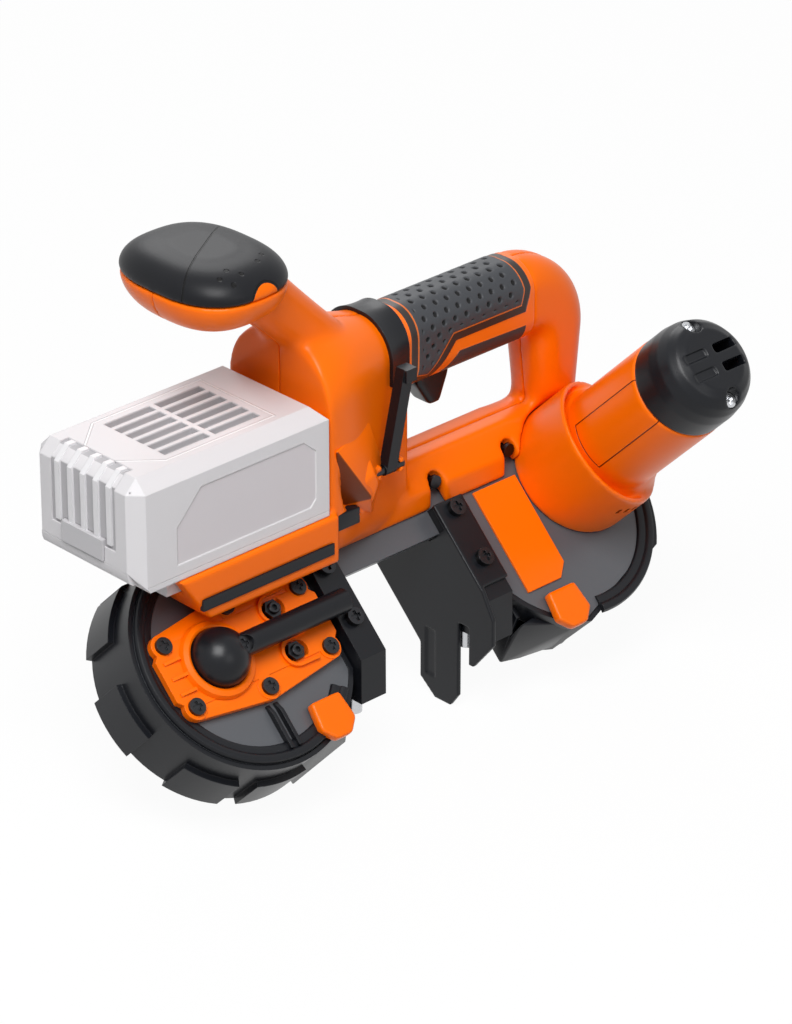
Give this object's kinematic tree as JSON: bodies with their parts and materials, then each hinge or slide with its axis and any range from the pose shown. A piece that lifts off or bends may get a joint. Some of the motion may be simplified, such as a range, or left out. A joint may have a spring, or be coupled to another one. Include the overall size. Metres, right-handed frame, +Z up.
{
  "type": "portable band saw",
  "caption": "Hand-held cordless band saw: looped grip and palm knob over an open throat, with a tilted wheel frame, guides, tension lever, motor and slide-in battery.",
  "frame": {"origin": "where the tooth line of a fitted blade meets the front face of the work stop", "axes": "+X along the cut line in the throat from the idler wheel to the drive wheel, +Y away from the motor side, +Z up from the throat towards the grip"},
  "size_m": [0.3504, 0.1801, 0.286],
  "materials": {
    "orange_shell": "satin moulded",
    "orange_trim": "smooth moulded",
    "grey_casting": "satin paint",
    "black_plastic": "fine grain",
    "soft_rubber": "soft grain",
    "black_steel": "satin coat",
    "bright_steel": "turned",
    "dark_steel": "zinc",
    "wheel_alloy": "cast",
    "fan_plastic": "moulded",
    "pack_grey": "fine grain",
    "pack_button": "fine grain",
    "cell_steel": "wrapped",
    "board_green": "laminate"
  },
  "bodies": {
    "frame": {"frame_casting": "grey_casting", "drive_bearing": "bright_steel", "tension_plate": "orange_trim", "tension_plate_screws": "dark_steel", "front_guide_bracket": "black_steel", "rear_guide_bracket": "black_steel", "guide_pins": "bright_steel", "guide_screws": "dark_steel", "work_stop": "black_steel", "label_plate": "orange_trim", "motor_housing": "orange_shell", "motor_cap": "black_plastic", "motor_cap_screws": "dark_steel", "motor_end_plate": "black_plastic", "motor_bearings": "bright_steel", "motor_stator": "dark_steel", "housing_left": "orange_shell", "housing_right": "orange_shell", "grip_rubber": "soft_rubber", "housing_screws": "dark_steel", "knob_cap": "soft_rubber", "foot_strip": "soft_rubber", "trigger_pin": "bright_steel", "switch_body": "black_plastic", "controller_board": "board_green", "terminal_block": "black_plastic", "tower_band": "black_plastic", "hook_pin": "bright_steel"},
    "cover": {"blade_cover": "black_plastic"},
    "drive": {"drive_shaft": "bright_steel", "drive_gear": "bright_steel", "drive_wheel": "wheel_alloy", "drive_tyre": "soft_rubber", "drive_wheel_nut": "bright_steel"},
    "stage": {"stage_gear": "bright_steel"},
    "rotor": {"motor_rotor": "dark_steel", "cooling_fan": "fan_plastic"},
    "carriage": {"tension_carriage": "dark_steel", "tension_studs": "dark_steel", "idler_axle": "bright_steel"},
    "idler": {"idler_wheel": "wheel_alloy", "idler_tyre": "soft_rubber", "idler_bearing": "bright_steel"},
    "lever": {"tension_lever": "black_steel", "lever_screw": "dark_steel"},
    "front_latch": {"front_cover_latch": "orange_trim"},
    "rear_latch": {"rear_cover_latch": "orange_trim"},
    "trigger": {"trigger": "black_steel"},
    "hook": {"hang_hook": "black_steel"},
    "battery": {"battery_case": "pack_grey", "battery_base": "pack_grey", "battery_cells": "cell_steel"},
    "button": {"battery_release_button": "pack_button"},
    "front_roller_far": {"front_roller_far": "bright_steel"},
    "front_roller_near": {"front_roller_near": "bright_steel"},
    "front_thrust_roller": {"front_thrust_roller": "bright_steel"},
    "rear_roller_far": {"rear_roller_far": "bright_steel"},
    "rear_roller_near": {"rear_roller_near": "bright_steel"},
    "rear_thrust_roller": {"rear_thrust_roller": "bright_steel"}
  },
  "joints": [
    {"name": "drive_spin", "type": "hinge", "parent": "frame", "child": "drive", "pos_m": [0.076, 0.02967, 0.03601], "axis": [0, -0.7071, 0.7071], "continuous": true},
    {"name": "stage_spin", "type": "hinge", "parent": "frame", "child": "stage", "pos_m": [0.0871, 0.01532, 0.08672], "axis": [0, -0.7071, 0.7071], "continuous": true},
    {"name": "rotor_spin", "type": "hinge", "parent": "frame", "child": "rotor", "pos_m": [0.1, -0.02019, 0.10779], "axis": [0, -0.7071, 0.7071], "continuous": true},
    {"name": "carriage_slide", "type": "slide", "parent": "frame", "child": "carriage", "axis": [1, 0, 0], "range_m": [0, 0.003]},
    {"name": "idler_spin", "type": "hinge", "parent": "carriage", "child": "idler", "pos_m": [-0.14, 0.02967, 0.03601], "axis": [0, -0.7071, 0.7071], "continuous": true},
    {"name": "lever_swing", "type": "hinge", "parent": "frame", "child": "lever", "pos_m": [-0.1596, 0.00774, 0.05794], "axis": [0, 0.7071, -0.7071], "range_deg": [0, 180]},
    {"name": "front_latch_turn", "type": "hinge", "parent": "frame", "child": "front_latch", "pos_m": [-0.114, -0.02372, 0.02364], "axis": [0, -0.7071, 0.7071], "range_deg": [-100, 0]},
    {"name": "rear_latch_turn", "type": "hinge", "parent": "frame", "child": "rear_latch", "pos_m": [0.05, -0.02372, 0.02364], "axis": [0, -0.7071, 0.7071], "range_deg": [0, 100]},
    {"name": "cover_pull", "type": "slide", "parent": "frame", "child": "cover", "axis": [0, 0.7071, -0.7071], "range_m": [0, 0.06]},
    {"name": "trigger_pull", "type": "hinge", "parent": "frame", "child": "trigger", "pos_m": [0.0119, 0.04928, 0.1464], "axis": [0, -1, 0], "range_deg": [0, 8], "stiffness_Nm_per_rad": 1.2, "springref_deg": -2.86},
    {"name": "hook_fold", "type": "hinge", "parent": "frame", "child": "hook", "pos_m": [-0.037, 0.01648, 0.1164], "axis": [1, 0, 0], "range_deg": [0, 90]},
    {"name": "battery_slide", "type": "slide", "parent": "frame", "child": "battery", "axis": [-1, 0, 0], "range_m": [0, 0.125]},
    {"name": "button_press", "type": "slide", "parent": "battery", "child": "button", "axis": [1, 0, 0], "range_m": [0, 0.0025], "stiffness_N_per_m": 900, "springref_m": -0.001},
    {"name": "front_roller_far_spin", "type": "hinge", "parent": "frame", "child": "front_roller_far", "pos_m": [-0.08092, 0.0048, 0.0091], "axis": [0, 0, 1], "continuous": true},
    {"name": "front_roller_near_spin", "type": "hinge", "parent": "frame", "child": "front_roller_near", "pos_m": [-0.08092, -0.0048, 0.0091], "axis": [0, 0, 1], "continuous": true},
    {"name": "front_thrust_roller_spin", "type": "hinge", "parent": "frame", "child": "front_thrust_roller", "pos_m": [-0.07411, 0, 0.01775], "axis": [0, 1, 0], "continuous": true},
    {"name": "rear_roller_far_spin", "type": "hinge", "parent": "frame", "child": "rear_roller_far", "pos_m": [0.00728, 0.0048, 0.0091], "axis": [0, 0, 1], "continuous": true},
    {"name": "rear_roller_near_spin", "type": "hinge", "parent": "frame", "child": "rear_roller_near", "pos_m": [0.00728, -0.0048, 0.0091], "axis": [0, 0, 1], "continuous": true},
    {"name": "rear_thrust_roller_spin", "type": "hinge", "parent": "frame", "child": "rear_thrust_roller", "pos_m": [0.01409, 0, 0.01775], "axis": [0, 1, 0], "continuous": true}
  ],
  "couplings": [
    {"joint": "stage_spin", "follows": "drive_spin", "ratio": -5.2222},
    {"joint": "rotor_spin", "follows": "drive_spin", "ratio": 29.841},
    {"joint": "idler_spin", "follows": "drive_spin", "ratio": 1},
    {"joint": "carriage_slide", "follows": "lever_swing", "m_per_rad": 0.00095493},
    {"joint": "front_roller_far_spin", "follows": "drive_spin", "ratio": 10.711},
    {"joint": "front_roller_near_spin", "follows": "drive_spin", "ratio": -10.711},
    {"joint": "front_thrust_roller_spin", "follows": "drive_spin", "ratio": -9.64},
    {"joint": "rear_roller_far_spin", "follows": "drive_spin", "ratio": 10.711},
    {"joint": "rear_roller_near_spin", "follows": "drive_spin", "ratio": -10.711},
    {"joint": "rear_thrust_roller_spin", "follows": "drive_spin", "ratio": -9.64}
  ]
}
